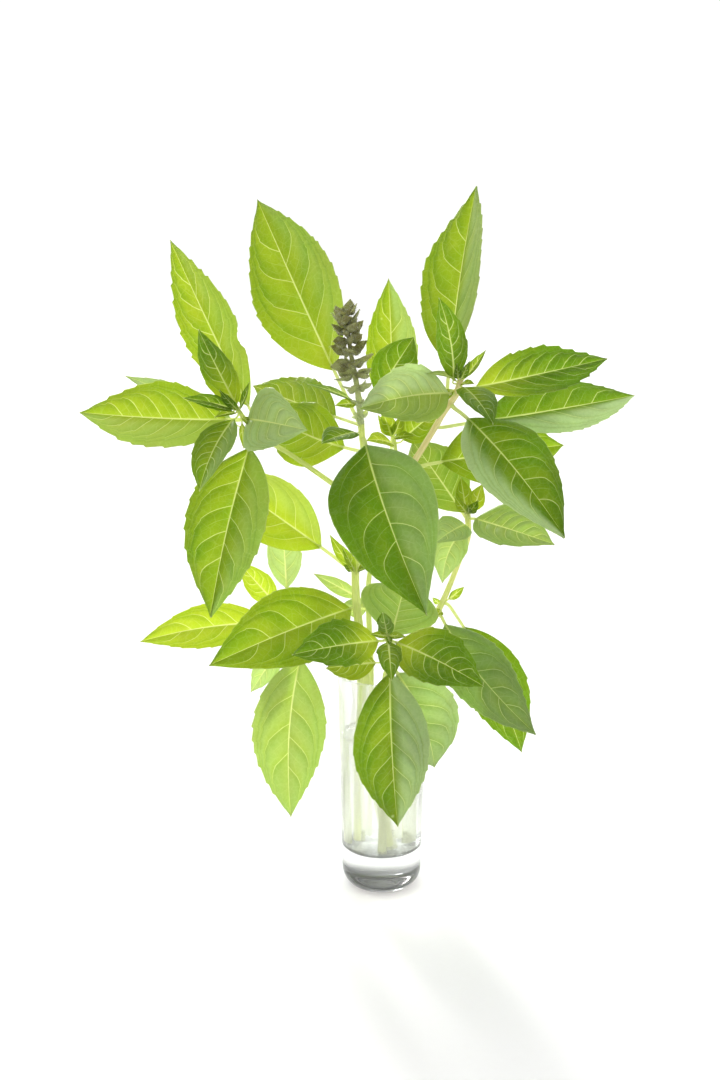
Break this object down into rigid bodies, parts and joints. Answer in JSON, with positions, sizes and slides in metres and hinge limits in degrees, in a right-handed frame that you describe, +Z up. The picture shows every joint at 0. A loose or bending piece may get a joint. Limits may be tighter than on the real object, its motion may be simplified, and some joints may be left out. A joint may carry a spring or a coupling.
{
  "type": "basil sprigs in a glass",
  "caption": "Cut basil sprigs, one in flower, standing in a slim thick-based glass of water, with separate stems, leaves, flower spike, glass and water.",
  "frame": {"origin": "centre of the glass's flat underside, on the surface it stands on", "axes": "+Z up along the glass's axis; +X to the right and +Y to the back, seen from the side where the flower spike leans forward"},
  "size_m": [0.239, 0.136, 0.31],
  "materials": {
    "glass": "clear, polished",
    "water": "clear, still water",
    "stem": "pale green, satin, finely haired",
    "leaf": "green, satin, veined, lets light through",
    "flower": "dull olive brown, haired"
  },
  "bodies": {
    "root": {"glass": "glass", "water": "water", "back_stem": "stem", "centre_stem": "stem", "front_stem": "stem", "left_branch": "stem", "main_stem": "stem", "right_branch": "stem", "right_stem": "stem", "back_leaf_1": "leaf", "back_leaf_2": "leaf", "back_leaf_3": "leaf", "back_leaf_4": "leaf", "back_leaf_5": "leaf", "centre_leaf_1": "leaf", "centre_leaf_2": "leaf", "centre_leaf_3": "leaf", "centre_leaf_4": "leaf", "centre_leaf_5": "leaf", "crown_leaf_1": "leaf", "crown_leaf_2": "leaf", "crown_leaf_3": "leaf", "crown_leaf_4": "leaf", "crown_leaf_5": "leaf", "crown_leaf_6": "leaf", "crown_leaf_7": "leaf", "front_leaf_1": "leaf", "front_leaf_2": "leaf", "front_leaf_3": "leaf", "front_leaf_4": "leaf", "front_leaf_5": "leaf", "front_leaf_6": "leaf", "front_leaf_7": "leaf", "front_leaf_8": "leaf", "left_leaf_1": "leaf", "left_leaf_2": "leaf", "left_leaf_3": "leaf", "left_leaf_4": "leaf", "left_leaf_5": "leaf", "left_leaf_6": "leaf", "left_leaf_7": "leaf", "left_leaf_8": "leaf", "low_right_leaf_1": "leaf", "low_right_leaf_2": "leaf", "low_right_leaf_3": "leaf", "low_right_leaf_4": "leaf", "low_right_leaf_5": "leaf", "low_right_leaf_6": "leaf", "low_right_leaf_7": "leaf", "low_right_leaf_8": "leaf", "right_leaf_1": "leaf", "right_leaf_2": "leaf", "right_leaf_3": "leaf", "right_leaf_4": "leaf", "right_leaf_5": "leaf", "right_leaf_6": "leaf", "right_leaf_7": "leaf", "right_leaf_8": "leaf", "flower_spike": "flower"}
  },
  "joints": []
}
